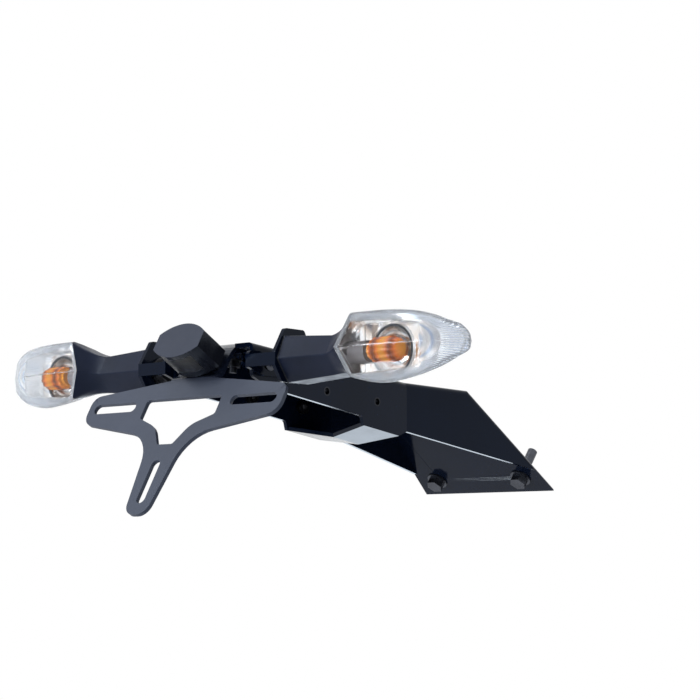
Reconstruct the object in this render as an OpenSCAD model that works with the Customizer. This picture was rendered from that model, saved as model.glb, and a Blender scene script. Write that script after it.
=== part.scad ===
// Tail tidy for a motorcycle: a folded sheet channel that bolts up under the tail, a swan-necked
// number-plate bracket with a plate light on its neck, and two stalked indicators on side brackets.
// +X is the machine's right, +Y its front, +Z up. The origin is midway between the two mounting
// bolts, on the face of the pad that is clamped to the machine.

/* [Sheet metal] */
// Thickness of the bracket sheets
sheet = 3; // [2:0.5:4]
// Outer radius of the folds
fold_r = 4; // [3.5:0.5:6]
// Radius of the outline's small corners
corner_r = 3; // [1:0.5:5]

/* [Mounting pad] */
// Slope of the pad, falling towards the front
pad_slope = 38; // [34:1:42]
// Pad from the bolts up to its fold
pad_rise = 102.5; // [95:0.5:110]
// Pad from the bolts down to its free edge
pad_margin = 18; // [14:1:24]
// Distance between the two mounting bolts
mount_pitch = 86; // [70:1:92]
// Thread of the mounting bolts
mount_bolt_d = 8; // [6:1:8]
// Length of the mounting bolts below the head
mount_bolt_l = 28; // [20:1:40]

/* [Channel] */
// Outside width of the channel's straight part
channel_w = 80; // [76:1:86]
// Length of the straight part, along its web
rear_web = 174; // [165:1:185]
// Slope of the straight part's web
rear_slope = 5.5; // [4:0.5:7]
// Length of the splayed part's web
front_web = 66; // [60:1:72]
// Slope of the splayed part's web
front_slope = 2.3; // [1:0.1:4]
// Angle by which each wall splays outwards
splay = 9.3; // [7:0.1:11]
// Depth of the walls where the splay starts
wall_depth = 38; // [34:1:42]
// Slope of the walls' lower edge ahead of the splay
front_edge_slope = 10.2; // [8:0.2:12]
// Slope of the walls' lower edge behind the brace
rear_edge_slope = 7.9; // [6:0.1:10]
// Height of the walls at their rear end
rear_depth = 24; // [20:1:28]

/* [Keel brace] */
// Length of the tabs along the walls
brace_len = 42; // [30:1:50]
// Tabs behind the start of the splay
brace_gap = 9.5; // [6:0.5:14]
// Step from the walls' lower edge down to the tabs' fold
brace_drop = 7; // [4:0.5:10]
// Keel line below the folds
keel_drop = 5; // [3:0.5:9]
// How much shorter the keel line is than the folds
keel_cut = 11; // [6:1:16]

/* [Number-plate bracket] */
// Slot line behind the channel's rear end
plate_gap = 30.08; // [26:0.01:34]
// Lean of the plate from upright
plate_tilt = 30; // [26:1:34]
// Metal outside the arm slots' outer ends
arm_margin = 6; // [4:0.5:9]
// Distance between the centres of the two arm slots
slot_pitch = 137; // [134:1:140]
// Length of the arm slots, end to end
slot_len = 43; // [38:1:44]
// Width of the slots
slot_w = 8; // [6:0.5:9]
// Length of the lower slot, end to end
stem_slot_len = 35; // [30:1:37]
// Middle of the lower slot below the slot line
stem_slot_drop = 64.5; // [62:0.5:66]
// Foot of the stem below the slot line
stem_drop = 91; // [89:1:95]
// Width of the swan neck
neck_w = 43; // [40:1:46]
// Radius of the swan neck's bend
neck_r = 22; // [19:0.5:24]
// Step of the neck ahead of the plate, where the light sits
joggle = 4.4; // [3:0.1:6]
// Length of the neck's flat seat for the light
seat_l = 12.37; // [11:0.01:18]
// Length of the tongue that lies on the channel
tongue_l = 40; // [36:1:50]

/* [Fasteners] */
// Thread of the bracket bolts
bolt_d = 6; // [5:1:6]
// Thread of the clinch nuts in the walls
clinch_d = 5; // [4:1:6]
// Clearance of a hole round its bolt
hole_gap = 0.3; // [0.2:0.05:0.5]

/* [Plate light] */
// Width of the light
light_w = 44; // [40:1:48]
// Height of the light's face in the middle
light_h = 29; // [26:1:31]
// Height of the light's face at its ends
light_end_h = 13; // [10:1:16]
// Face of the light behind the plate
light_face = 25.8; // [22:0.2:30]
// Thickness of the light's window
window_t = 2; // [1.5:0.5:3]

/* [Indicators] */
// Outer face of the ears from the middle
ear_x = 68; // [64:1:70]
// Stalk's axis ahead of the slot line
stalk_y = 43; // [40:1:46]
// Stalk's axis above the slot line
stalk_z = 29.5; // [27:0.5:32]
// Length of the stalk, from the ear to the middle of the lens's seam
stalk_l = 59.5; // [54:0.5:66]
// Middle of the lens above the stalk's axis
lens_rise = 3; // [0:0.5:5]
// Stalk from the ear out to where it flares
flare_at = 44; // [40:1:48]
// Lean of the seam's two halves, from upright
seam_lean = 25; // [18:1:30]
// Length of the lens, outwards from the seam
lens_l = 95.5; // [88:0.5:104]
// Width of the lens, along the machine
lens_w = 48; // [44:1:54]
// Height of the lens
lens_h = 49; // [44:1:54]
// Wall of the lens
lens_wall = 2; // [1.5:0.5:3]
// Diameter of the bulb's glass
bulb_d = 18; // [15:1:20]

/* [Hidden] */
$fn = 48;
SIDES = [-1, 1];
ARC_STEPS = 8;
// Overlap of solids that are joined
WELD = 0.01;

// Points of the channel's side view, as [along Y, up Z]
half_w = channel_w / 2;
pad_top = pad_rise * [-cos(pad_slope), sin(pad_slope)];
kink = pad_top + front_web * [-cos(front_slope), sin(front_slope)];
web_end = kink + rear_web * [-cos(rear_slope), sin(rear_slope)];
plate_reach = plate_gap - web_end[0];
LONG = 2 * (rear_web + pad_rise);
arm_half = (slot_pitch + slot_len) / 2 + arm_margin;
pad_end = pad_margin * [cos(pad_slope), -sin(pad_slope)];
low_kink = kink - [0, wall_depth];
brace_lead = 21.3;
brace_back_step = 2;
brace_front = low_kink + brace_gap * [-1, -tan(brace_lead)];
brace_back = brace_front + brace_len * [-cos(rear_edge_slope), sin(rear_edge_slope)];
edge_start = brace_back + [-brace_back_step, brace_drop];

function dir(a) = [cos(a), sin(a)];
function right_of(a) = [sin(a), -cos(a)];

// Points of a line that goes straight and turns, step by step: [length, turn, radius]
function walk(steps, off, p = [0, 0], a = 0, i = 0) = i == len(steps) ? [] :
    let (length = steps[i][0], turn = steps[i][1], side = sign(turn), r = steps[i][2])
    let (q = p + length * dir(a), c = q - side * r * right_of(a), b = a + turn)
    concat([p + off * right_of(a), q + off * right_of(a)],
        [for (k = [1:1:ARC_STEPS - 1]) if (turn != 0)
            let (g = a + turn * k / ARC_STEPS) c + (side * r + off) * right_of(g)],
        walk(steps, off, turn == 0 ? q : c + side * r * right_of(b), b, i + 1));

function reversed(list) = [for (i = [len(list) - 1:-1:0]) list[i]];
function unit(v) = v / norm(v);

// Points of an outline whose corners, given as [x, y, radius], are rounded where they have a radius
function rounded(corners) = [for (i = [0:1:len(corners) - 1])
    let (n = len(corners), c = corners[i], p = corners[(i + n - 1) % n], q = corners[(i + 1) % n])
    let (o = [c[0], c[1]], u = unit([p[0], p[1]] - o), v = unit([q[0], q[1]] - o))
    let (half = acos(max(-1, min(1, u * v))) / 2, t = c[2] / tan(half), m = o + unit(u + v) * c[2] / sin(half))
    let (a0 = atan2((o + u * t - m)[1], (o + u * t - m)[0]), a1 = atan2((o + v * t - m)[1], (o + v * t - m)[0]))
    let (swing = a1 - a0 > 180 ? a1 - a0 - 360 : a1 - a0 < -180 ? a1 - a0 + 360 : a1 - a0)
    for (k = [0:1:c[2] == 0 ? 0 : ARC_STEPS]) m + c[2] * dir(a0 + swing * k / ARC_STEPS)];

// The neck's side view, from the plate's rear face to the tongue that lies on the web
lean = 90 - plate_tilt;
junction = 20.7;
joggle_turn = 36;
joggle_r = 4;
joggle_run = (joggle - 2 * joggle_r * (1 - cos(joggle_turn))) / sin(joggle_turn);
neck_start = junction * dir(lean);
neck_steps = [[0.1, -joggle_turn, joggle_r], [joggle_run, joggle_turn, joggle_r],
    [seat_l, -lean - rear_slope, neck_r], [tongue_l, 0, 0]];
tongue_path = walk(neck_steps, 0, a = lean);
tongue_end = neck_start + tongue_path[len(tongue_path) - 1];
web_normal = [sin(rear_slope), cos(rear_slope)];
plate_rise = kink[1] + (sheet - ((tongue_end - [kink[0] + plate_reach, 0]) * web_normal)) / cos(rear_slope);
web_zero = kink + [plate_reach, -plate_rise];
tongue_along = (web_zero - tongue_end) * [cos(rear_slope), -sin(rear_slope)] + tongue_l / 2;

// Both halves of an outline that is the same left and right
function both_halves(half) = concat(half, [for (c = reversed(half)) [-c[0], c[1], c[2]]]);

// A side view, as [along Y, up Z], made into a solid of the given width across the machine
module across(width, from = undef) {
    start = is_undef(from) ? -width / 2 : from;
    translate([start, 0, 0]) rotate([90, 0, 90]) linear_extrude(width) children();
}

// A cross-section, as [across X, up Z], run rearwards and up a slope from a point of the side view
module rearwards(point, slope, length) {
    translate([0, point[0], point[1]]) rotate([90 - slope, 0, 0]) linear_extrude(length) children();
}

// Children at a point of the web's top face, standing square to it
module on_web(along) {
    p = kink + along * [-cos(rear_slope), sin(rear_slope)];
    translate([0, p[0], p[1]]) rotate([-rear_slope, 0, 0]) children();
}

// Children on the pad's clamped face, at each mounting bolt
module at_mounts() {
    for (side = SIDES) rotate([-pad_slope, 0, 0]) translate([side * mount_pitch / 2, 0, 0]) children();
}

// Children placed from the plate's slot line
module at_tail() {
    translate([0, -plate_reach, plate_rise]) children();
}

// Children on the plate's rear face: X across, Y up the plate, Z out towards the rear
module on_plate() {
    at_tail() rotate([90 - plate_tilt, 0, 0]) children();
}

module slot(length, width) {
    for (s = SIDES) translate([s * (length - width) / 2, 0]) circle(d = width);
    square([length - width, width], center = true);
}

// Channel, pad and brace
tongue_pitch = 24;
notch_gap = 1;
side_bolt_y = [45, 58];
side_bolt_z = 29;
clinch_at = [[91.6, 21.9], [33.5, 20.5]];
clinch_body_d = clinch_d + 2;
clinch_head_d = 2 * clinch_d + 1;
clinch_head_t = 4;

// Side view of the whole channel and pad, and of the space inside it
function mitre(p, a, b) = p - sheet / cos((a - b) / 2) * [sin((a + b) / 2), cos((a + b) / 2)];
pad_in = pad_end - sheet * [sin(pad_slope), cos(pad_slope)];
// The lower edge runs until it meets the pad's underside
edge_run = (pad_in[1] - low_kink[1] + (pad_in[0] - low_kink[0]) * tan(pad_slope))
    / (tan(pad_slope) - tan(front_edge_slope));
edge_tip = low_kink + edge_run * [1, -tan(front_edge_slope)];
rear_step = 18;
rear_step_z = edge_start[1] + (edge_start[0] - web_end[0] - rear_step) * tan(rear_edge_slope);

module side_view() {
    polygon(rounded([concat(pad_end, 0), concat(pad_top, 0), concat(kink, 0), concat(web_end, 0),
        [web_end[0], web_end[1] - rear_depth, corner_r], [web_end[0] + rear_step, rear_step_z, corner_r],
        concat(edge_start, corner_r), concat(brace_back, 0), concat(brace_front, 0), concat(low_kink, 0),
        concat(edge_tip, 0), concat(pad_in, 0)]));
}

module side_inside() {
    past_end = web_end + sheet * 2 * [-cos(rear_slope), sin(rear_slope)];
    back = past_end - sheet * [sin(rear_slope), cos(rear_slope)];
    polygon([back, mitre(kink, front_slope, rear_slope), mitre(pad_top, pad_slope, front_slope), pad_in,
        [pad_in[0], -LONG], [back[0], -LONG]]);
}

// Half outline from above, and half of the space inside it
module plan(inset, margin) {
    turn = kink[0] + inset * tan(splay / 2);
    far = pad_end[0] + margin;
    half = [[half_w - inset, web_end[0] - margin], [half_w - inset, turn],
        [half_w - inset + (far - turn) * tan(splay), far]];
    polygon(concat(half, [for (p = reversed(half)) [-p[0], p[1]]]));
}

fold_overrun = 0.8;

// What a fold's outer radius takes off an edge, as [inwards, down] from it, where two faces meet at
// an angle
module fold_waste(angle) {
    t = fold_r / tan(angle / 2);
    polygon(concat([[t, -1], -1.2 * (dir(0) + dir(angle)), t * dir(angle) + dir(90 + angle)],
        [for (k = [0:1:ARC_STEPS]) [t, fold_r] + fold_r * dir(90 + angle + (180 - angle) * k / ARC_STEPS)]));
}

// Rounds the right-hand fold between two points of the side view, under a top face of some slope
module round_fold(front, rear, slope, turn) {
    corner = [half_w + (front[0] - kink[0]) * tan(turn), front[0], front[1]];
    end = [half_w + (rear[0] - kink[0]) * tan(turn), rear[0], rear[1]];
    run = unit(end - corner);
    down = -[0, sin(slope), cos(slope)];
    inward = cross(down, run);
    wall_out = [cos(turn), -sin(turn), 0];
    at = corner - fold_overrun * run;
    multmatrix([[inward[0], down[0], run[0], at[0]], [inward[1], down[1], run[1], at[1]],
        [inward[2], down[2], run[2], at[2]]])
        linear_extrude(norm(end - corner) + 2 * fold_overrun) fold_waste(180 - acos(-down * wall_out));
}

module round_folds() {
    for (m = [0, 1]) mirror([m, 0, 0]) {
        round_fold(kink, web_end, rear_slope, 0);
        round_fold(pad_top, kink, front_slope, splay);
        round_fold(pad_end, pad_top, pad_slope, splay);
    }
}

module channel() {
    difference() {
        intersection() {
            translate([0, 0, -LONG]) linear_extrude(2 * LONG) plan(0, 0);
            across(2 * LONG) side_view();
        }
        intersection() {
            translate([0, 0, -LONG]) linear_extrude(2 * LONG) plan(sheet, sheet);
            across(2 * LONG) side_inside();
        }
    }
}

module keel_brace() {
    intersection() {
        rearwards(brace_front, rear_edge_slope, brace_len)
            polygon([[-half_w, 0], [0, -keel_drop], [half_w, 0],
                [half_w, sheet], [0, sheet - keel_drop], [-half_w, sheet]]);
        translate([0, 0, -LONG]) linear_extrude(2 * LONG) polygon([
            [-half_w, brace_front[0] + 1], [half_w, brace_front[0] + 1],
            [half_w, brace_back[0]], [0, brace_back[0] + keel_cut], [-half_w, brace_back[0]]]);
    }
}

module main_bracket() {
    color([0.13, 0.13, 0.15]) difference() {
        union() {
            channel();
            keel_brace();
        }
        round_folds();
        at_mounts() cylinder(d = mount_bolt_d + 2 * hole_gap, h = 4 * sheet, center = true);
        // The web's end is cut back where the neck bends down past it
        on_web(tongue_along + tongue_l / 2 - notch_gap) translate([-neck_w / 2 - notch_gap, -LONG, -2 * sheet])
            cube([neck_w + 2 * notch_gap, LONG, 4 * sheet]);
        on_web(tongue_along) for (s = SIDES) translate([s * tongue_pitch / 2, 0, 0])
            cylinder(d = bolt_d + 2 * hole_gap, h = 4 * sheet, center = true);
        at_tail() for (y = side_bolt_y) translate([0, y, side_bolt_z]) rotate([0, 90, 0])
            cylinder(d = bolt_d + 2 * hole_gap, h = 2 * channel_w, center = true);
        for (p = clinch_at) on_web(p[0]) translate([0, 0, -p[1]]) rotate([0, 90, 0])
            cylinder(d = clinch_body_d, h = 2 * channel_w, center = true);
    }
}

// Number-plate bracket
arm_top = 11;
arm_low = -12.2;
arm_r = [8, 11];
stem_half = 10.3;
shoulder = [18.2, -27];
shoulder_r = 30;
window_half = 37;
window_top = 5;
window_low = -10.5;
window_r = 2.5;
window_shoulder = [17.5, -18.5];
window_shoulder_r = 20;
window_foot = [7.5, -34];

module plate_outline() {
    polygon(rounded(both_halves([
        [neck_w / 2, junction + 1, 0], [neck_w / 2, junction, 0.5], [arm_half, arm_top, arm_r[0]],
        [arm_half, arm_low, arm_r[1]], concat(shoulder, shoulder_r),
        [stem_half, -stem_drop, stem_half - 0.8]])));
}

module plate_window() {
    polygon(rounded(both_halves([
        [window_half, window_top, window_r], [window_half, window_low, window_r],
        concat(window_shoulder, window_shoulder_r), concat(window_foot, window_r)])));
}

// The neck leaves the plate, steps forwards, runs on beside the plate's plane as the light's seat,
// and bends over to lie on the channel. The plate hangs as high as that takes.
module neck_profile() {
    translate(neck_start) polygon(concat(walk(neck_steps, 0, a = lean),
        reversed(walk(neck_steps, sheet, a = lean))));
}

module plate_bracket() {
    color([0.15, 0.15, 0.18]) difference() {
        union() {
            on_plate() translate([0, 0, -sheet]) linear_extrude(sheet) difference() {
                plate_outline();
                plate_window();
                for (s = SIDES) translate([s * slot_pitch / 2, 0]) slot(slot_len, slot_w);
                translate([0, -stem_slot_drop]) rotate(90) slot(stem_slot_len, slot_w);
            }
            at_tail() across(neck_w) neck_profile();
        }
        on_web(tongue_along) for (s = SIDES) translate([s * tongue_pitch / 2, 0, 0])
            cylinder(d = bolt_d + 2 * hole_gap, h = 6 * sheet, center = true);
        at_light_bolts() cylinder(d = light_bolt_d + 2 * hole_gap, h = 4 * sheet, center = true);
    }
}

// Fasteners, each along +Z with its bearing face at the origin
// Sizes are shares of the thread's diameter.
BUTTON_D = 1.75;
BUTTON_H = 0.55;
BUTTON_BALL_D = 2.1;
SOCKET_D = 0.66;
SOCKET_FROM = 0.25;
NUT_FLANGE = [2.1, 0.18];
NUT_HEXAGON = [1.9, 0.95];
BOLT_FLANGE = [2.15, 0.17];
BOLT_HEXAGON = [1.72, 0.95];
RELIEF_D = 0.88;
tongue_bolt_l = 16;
side_bolt_l = 14;
mount_relief = 0.5;

module button_bolt(d, length) {
    translate([0, 0, -length]) cylinder(d = d, h = length + WELD);
    difference() {
        intersection() {
            cylinder(d = BUTTON_D * d, h = BUTTON_H * d);
            translate([0, 0, (BUTTON_H - BUTTON_BALL_D / 2) * d]) sphere(d = BUTTON_BALL_D * d);
        }
        translate([0, 0, SOCKET_FROM * d]) cylinder(d = SOCKET_D * d, h = d, $fn = 6);
    }
}

module flange_nut(d) {
    difference() {
        union() {
            cylinder(d = NUT_FLANGE[0] * d, h = NUT_FLANGE[1] * d);
            cylinder(d = NUT_HEXAGON[0] * d, h = NUT_HEXAGON[1] * d, $fn = 6);
        }
        translate([0, 0, -1]) cylinder(d = d, h = 2 * d);
    }
}

module flange_bolt(d, length, neck) {
    translate([0, 0, -length]) cylinder(d = d, h = length - neck);
    translate([0, 0, -neck - WELD]) cylinder(d = RELIEF_D * d, h = neck + 2 * WELD);
    cylinder(d = BOLT_FLANGE[0] * d, h = BOLT_FLANGE[1] * d);
    cylinder(d = BOLT_HEXAGON[0] * d, h = BOLT_HEXAGON[1] * d, $fn = 6);
}

module mount_bolts() {
    color([0.2, 0.2, 0.22]) at_mounts() translate([0, 0, -sheet]) rotate([180, 0, 0])
        flange_bolt(mount_bolt_d, mount_bolt_l, sheet + mount_relief);
}

module tongue_bolts() {
    color([0.2, 0.2, 0.22]) on_web(tongue_along) for (s = SIDES)
        translate([s * tongue_pitch / 2, 0, sheet]) button_bolt(bolt_d, tongue_bolt_l);
}

module tongue_nuts() {
    color([0.45, 0.45, 0.48]) on_web(tongue_along) for (s = SIDES)
        translate([s * tongue_pitch / 2, 0, -sheet]) rotate([180, 0, 0]) flange_nut(bolt_d);
}

// Side brackets: a flange on the wall, a wing out to the side, and an ear for the indicator
ear_rear = 22.5;
wing_low = 25;
wing_high = 34;
flange_low = 20;
flange_r = 4;
flange_past = 10;
flange_before = 7;
flange_front = side_bolt_y[1] + flange_past;
flange_rear = side_bolt_y[0] - flange_before;
ear_half = 10;
ear_up = 22;
ear_down = 16;
ear_reach = 20;

module indicator_bracket() {
    at_tail() difference() {
        union() {
            translate([half_w, 0, 0]) across(sheet, 0) polygon(rounded([
                [ear_rear, wing_low, 1], [ear_rear, wing_high + sheet, flange_r],
                [flange_front, wing_high + sheet, flange_r], [flange_front, flange_low, flange_r],
                [flange_rear, flange_low, flange_r]]));
            translate([half_w, ear_rear, wing_low])
                cube([ear_x - half_w, sheet, wing_high - wing_low]);
            translate([ear_x - sheet, 0, 0]) across(sheet, 0) polygon(rounded([
                [ear_rear, wing_low, 1], [ear_rear, wing_high, 1],
                [stalk_y - ear_half, stalk_z + ear_up, corner_r],
                [stalk_y + ear_half, stalk_z + ear_up, corner_r],
                [stalk_y + ear_reach, stalk_z + lens_rise, corner_r],
                [stalk_y + ear_half, stalk_z - ear_down, corner_r],
                [stalk_y - ear_half - corner_r, stalk_z - ear_down, corner_r]]));
        }
        translate([0, stalk_y, stalk_z]) rotate([0, 90, 0])
            cylinder(d = stalk_stud_d + 2 * hole_gap, h = 2 * ear_x);
        for (y = side_bolt_y) translate([0, y, side_bolt_z]) rotate([0, 90, 0])
            cylinder(d = bolt_d + 2 * hole_gap, h = half_w + 2 * sheet);
    }
}

module left_indicator_bracket() {
    color([0.13, 0.13, 0.15]) mirror([1, 0, 0]) indicator_bracket();
}

module right_indicator_bracket() {
    color([0.13, 0.13, 0.15]) indicator_bracket();
}

module at_side_bolts() {
    at_tail() for (s = SIDES, y = side_bolt_y) translate([s * half_w, y, side_bolt_z]) rotate([0, s * 90, 0])
        children();
}

module side_bolts() {
    color([0.2, 0.2, 0.22]) at_side_bolts() translate([0, 0, sheet]) button_bolt(bolt_d, side_bolt_l);
}

module side_nuts() {
    color([0.45, 0.45, 0.48]) at_side_bolts() translate([0, 0, -sheet]) rotate([180, 0, 0]) flange_nut(bolt_d);
}

module clinch_nuts() {
    color([0.5, 0.5, 0.52]) for (s = SIDES, p = clinch_at)
        on_web(p[0]) translate([s * (half_w - sheet), 0, -p[1]]) rotate([0, s * 90, 0]) difference() {
            union() {
                cylinder(d = clinch_body_d, h = sheet);
                translate([0, 0, -clinch_head_t]) cylinder(d = clinch_head_d, h = clinch_head_t);
            }
            translate([0, 0, -2 * clinch_head_t]) cylinder(d = clinch_d, h = 3 * clinch_head_t);
        }
}

// Plate light, drawn in the frame of the plate's rear face
light_at = 36.5;
light_gap = 0.6;
light_depth = light_face - light_gap;
light_bolt_pitch = 24;
light_bolt_d = 4;
light_bolt_grip = 5;
foot_w = 34;
foot_h = 12;
led_cover = 5;
light_lip = 4;
light_cheek = 8;
mouth_h = 9;
mouth_l = light_depth - led_cover - light_lip;
// How far the light's curved underside rises at the window's ends
window_sag = 2;
board_gap = 0.3;
board_t = 1.5;
led = 3;
led_t = 1;
led_pitch = 8;

// A lens shape: a width, its height in the middle and its height at the ends
function barrel(w, h, e) = let (s = (h - e) / 2, r = (w * w / 4 + s * s) / (2 * s), a = asin(w / 2 / r))
    let (upper = [for (k = [-ARC_STEPS:1:ARC_STEPS])
        [r * sin(a * k / ARC_STEPS), h / 2 - r + r * cos(a * k / ARC_STEPS)]])
    concat(upper, [for (q = reversed(upper)) [q[0], -q[1]]]);

module light_body(inset) {
    translate([0, light_at, light_gap]) linear_extrude(light_depth)
        polygon(barrel(light_w - 2 * inset, light_h - 2 * inset, light_end_h - inset));
}

module light_housing() {
    color([0.1, 0.1, 0.11]) difference() {
        on_plate() union() {
            light_body(0);
            translate([-foot_w / 2, light_at - foot_h / 2, -joggle])
                cube([foot_w, foot_h, joggle + light_gap + WELD]);
        }
        on_plate() translate([0, light_at - light_h / 2, light_gap + led_cover]) light_mouth(0);
        light_bolts();
    }
}

// Pocket in the light's underside
module light_mouth(inset) {
    side = light_cheek + inset;
    translate([side - light_w / 2, -mouth_h, inset])
        cube([light_w - 2 * side, 2 * mouth_h - inset, mouth_l - 2 * inset]);
}

module light_window() {
    color([0.9, 0.92, 0.95, 0.5]) on_plate() intersection() {
        light_body(0);
        translate([0, light_at - light_h / 2, light_gap + led_cover]) intersection() {
            light_mouth(0);
            translate([-light_w / 2, -mouth_h, 0])
                cube([light_w, mouth_h + window_t + window_sag, light_depth]);
        }
    }
}

module led_board() {
    side = light_cheek + board_gap;
    color([0.85, 0.85, 0.8]) on_plate()
        translate([0, light_at - light_h / 2 + mouth_h - board_t, light_gap + led_cover]) {
            translate([side - light_w / 2, 0, board_gap])
                cube([light_w - 2 * side, board_t, mouth_l - 2 * board_gap]);
            for (k = [-1:1:1]) translate([k * led_pitch - led / 2, -led_t, (mouth_l - led) / 2])
                cube([led, led_t + WELD, led]);
        }
}

module at_light_bolts() {
    on_plate() for (s = SIDES) translate([s * light_bolt_pitch / 2, light_at, -joggle]) children();
}

module light_bolts() {
    color([0.6, 0.6, 0.62]) at_light_bolts() translate([0, 0, -sheet - light_bolt_grip])
        cylinder(d = light_bolt_d, h = sheet + 2 * light_bolt_grip);
}

module light_nuts() {
    color([0.6, 0.6, 0.62]) at_light_bolts() translate([0, 0, -sheet]) rotate([180, 0, 0])
        flange_nut(light_bolt_d);
}

// Indicators
stalk_stud_d = 10;
seal_t = 1.5;
stalk_x = ear_x + seal_t;
seam_x = ear_x + stalk_l;
stud_root = 2;
stud_out = 14;
// Half width and half height of the stalk at the ear and where it flares, and its flats
stalk_root = [19, 16.2];
stalk_waist = [17, 13.5];
stalk_skew = 2;
STALK_TOP = 0.62;
STALK_LOW = 0.5;

module hexagon(half_y, half_z) {
    polygon([[-half_y, 0], [-half_y * STALK_TOP, half_z], [half_y * STALK_TOP, half_z],
        [half_y, 0], [half_y * STALK_TOP + stalk_skew, -half_z], [stalk_skew - half_y * STALK_LOW, -half_z]]);
}

// The lens's section, for a half width and half height of 1: a rear ridge, and a front edge
LENS_HALF = [[-0.8, 1, 0.14], [-0.35, 0.9, 0], [0.1, 0.77, 0], [0.5, 0.62, 0], [0.8, 0.46, 0.3]];
LENS_SECTION = rounded(concat([[-1, 0, 0]], LENS_HALF, [[1, 0, 0]],
    [for (c = reversed(LENS_HALF)) [c[0], -c[1], c[2]]]));
LENS_FRONT = len(LENS_SECTION) / 2;
LENS_RINGS = 12;
lens_tip = 0.99;
lens_set_back = 3.5;
lens_y = stalk_y - lens_set_back;
lens_top = 0.48;
lens_swell = 0.06;
nose_shift = 1.5;
// How the lens's half width, its top and its underside run out towards the tip
SIDE_FADE = [3, 1.9];
TOP_FADE = [3, 1.75];
LOW_FADE = [2.6, 1.5];

// What is left of the lens's half size at a share t of its length
function fade(t, f) = pow(1 - pow(t, f[0]), 1 / f[1]);

// One ring of the lens at a share t of its length, as points [x, y, z] from the middle of its seam
function lens_ring(t, inset) = let (
        swell = 1 - lens_swell * (1 - sin(90 * min(1, 3.5 * t))),
        half_y = lens_w / 2 * fade(t, SIDE_FADE) - inset,
        top = lens_h * lens_top * swell * fade(t, TOP_FADE) - inset,
        low = lens_h * (1 - lens_top) * swell * fade(t, LOW_FADE) - inset)
    [for (p = LENS_SECTION) let (z = p[1] * (p[1] > 0 ? top : low))
        [t * (lens_l - inset) + (1 - t) * abs(z) * tan(seam_lean), half_y * p[0] + nose_shift * t, z]];

// A length of the lens, whose ends are folded along the middle like the seam
module lens_solid(inset, end = lens_tip) {
    rings = [for (k = [0:1:LENS_RINGS]) lens_ring(end * sin(90 * k / LENS_RINGS), inset)];
    n = len(LENS_SECTION);
    z = LENS_RINGS * n;
    polyhedron(
        points = [for (ring = rings) each ring],
        faces = concat([[for (i = [LENS_FRONT:-1:0]) i]], [[0, for (i = [n - 1:-1:LENS_FRONT]) i]],
            [[for (i = [0:1:LENS_FRONT]) z + i]], [[for (i = [LENS_FRONT:1:n - 1]) z + i, z]],
            [for (k = [0:1:LENS_RINGS - 1], i = [0:1:n - 1])
                each [[k * n + i, k * n + (i + 1) % n, (k + 1) * n + i],
                    [k * n + (i + 1) % n, (k + 1) * n + (i + 1) % n, (k + 1) * n + i]]]));
}

module at_lens() {
    at_tail() translate([seam_x, lens_y, stalk_z + lens_rise]) children();
}

// Everything outside the seam
module beyond_seam() {
    reach = 2 * lens_h;
    translate([0, lens_l, 0]) rotate([90, 0, 0]) linear_extrude(2 * lens_l) polygon([[0, 0],
        [reach * tan(seam_lean), reach], [2 * lens_l, reach],
        [2 * lens_l, -reach], [reach * tan(seam_lean), -reach]]);
}

module stalk() {
    difference() {
        union() {
            at_tail() hull() {
                translate([stalk_x, stalk_y, stalk_z]) across(1, 0) hexagon(stalk_root[0], stalk_root[1]);
                translate([ear_x + flare_at, stalk_y - 1, stalk_z]) across(1, 0)
                    hexagon(stalk_waist[0], stalk_waist[1]);
            }
            hull() {
                at_tail() translate([ear_x + flare_at, stalk_y - 1, stalk_z]) across(1, 0)
                    hexagon(stalk_waist[0], stalk_waist[1]);
                at_lens() for (x = [0.4, lens_h / 2 * tan(seam_lean)]) translate([x, 0, 0]) across(1, 0)
                    polygon([for (p = lens_ring(0, 0)) [p[1], p[2]]]);
            }
        }
        at_lens() beyond_seam();
    }
    at_tail() translate([ear_x - sheet - stud_out, stalk_y, stalk_z]) rotate([0, 90, 0])
        cylinder(d = stalk_stud_d, h = stud_out + sheet + seal_t + stud_root);
}

module stalk_seal() {
    at_tail() translate([ear_x, stalk_y, stalk_z]) difference() {
        across(seal_t, 0) hexagon(stalk_root[0], stalk_root[1]);
        rotate([0, 90, 0]) cylinder(d = stalk_stud_d + 2 * hole_gap, h = 3 * seal_t, center = true);
    }
}

module stalk_nut() {
    at_tail() translate([ear_x - sheet, stalk_y, stalk_z]) rotate([0, -90, 0]) flange_nut(stalk_stud_d);
}

// The bulb lies along the lens, over a trough in the reflector
holder_d = 15;
holder_from = 5.2;
// Glass to the outside of the lens, at the rear
bulb_room = 7;
bulb_y = bulb_d / 2 + bulb_room - lens_w / 2;
bulb_z = -3;
bulb_cap = 6;
bulb_glass_l = 22;
base_at = 11.5;
base_t = 2.5;
reflector_l = 62;
trough_r = 14;
reflector_gap = 0.4;
holder_out = 5;
bulb_at = base_at + base_t + holder_out;

module at_bulb(along) {
    at_lens() translate([along, bulb_y, bulb_z]) rotate([0, 90, 0]) children();
}

module reflector() {
    difference() {
        at_lens() intersection() {
            lens_solid(lens_wall + reflector_gap);
            union() {
                translate([base_at, bulb_y, -lens_h]) cube([reflector_l - base_at, lens_w, 2 * lens_h]);
                translate([base_at, -lens_w, -lens_h]) cube([base_t, 2 * lens_w, 2 * lens_h]);
            }
        }
        at_bulb(base_at + base_t) cylinder(r = trough_r, h = lens_l);
        at_bulb(0) cylinder(d = holder_d + 2 * hole_gap, h = lens_l / 2);
    }
}

module bulb_holder() {
    at_bulb(holder_from) cylinder(d = holder_d, h = bulb_at - holder_from);
}

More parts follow.
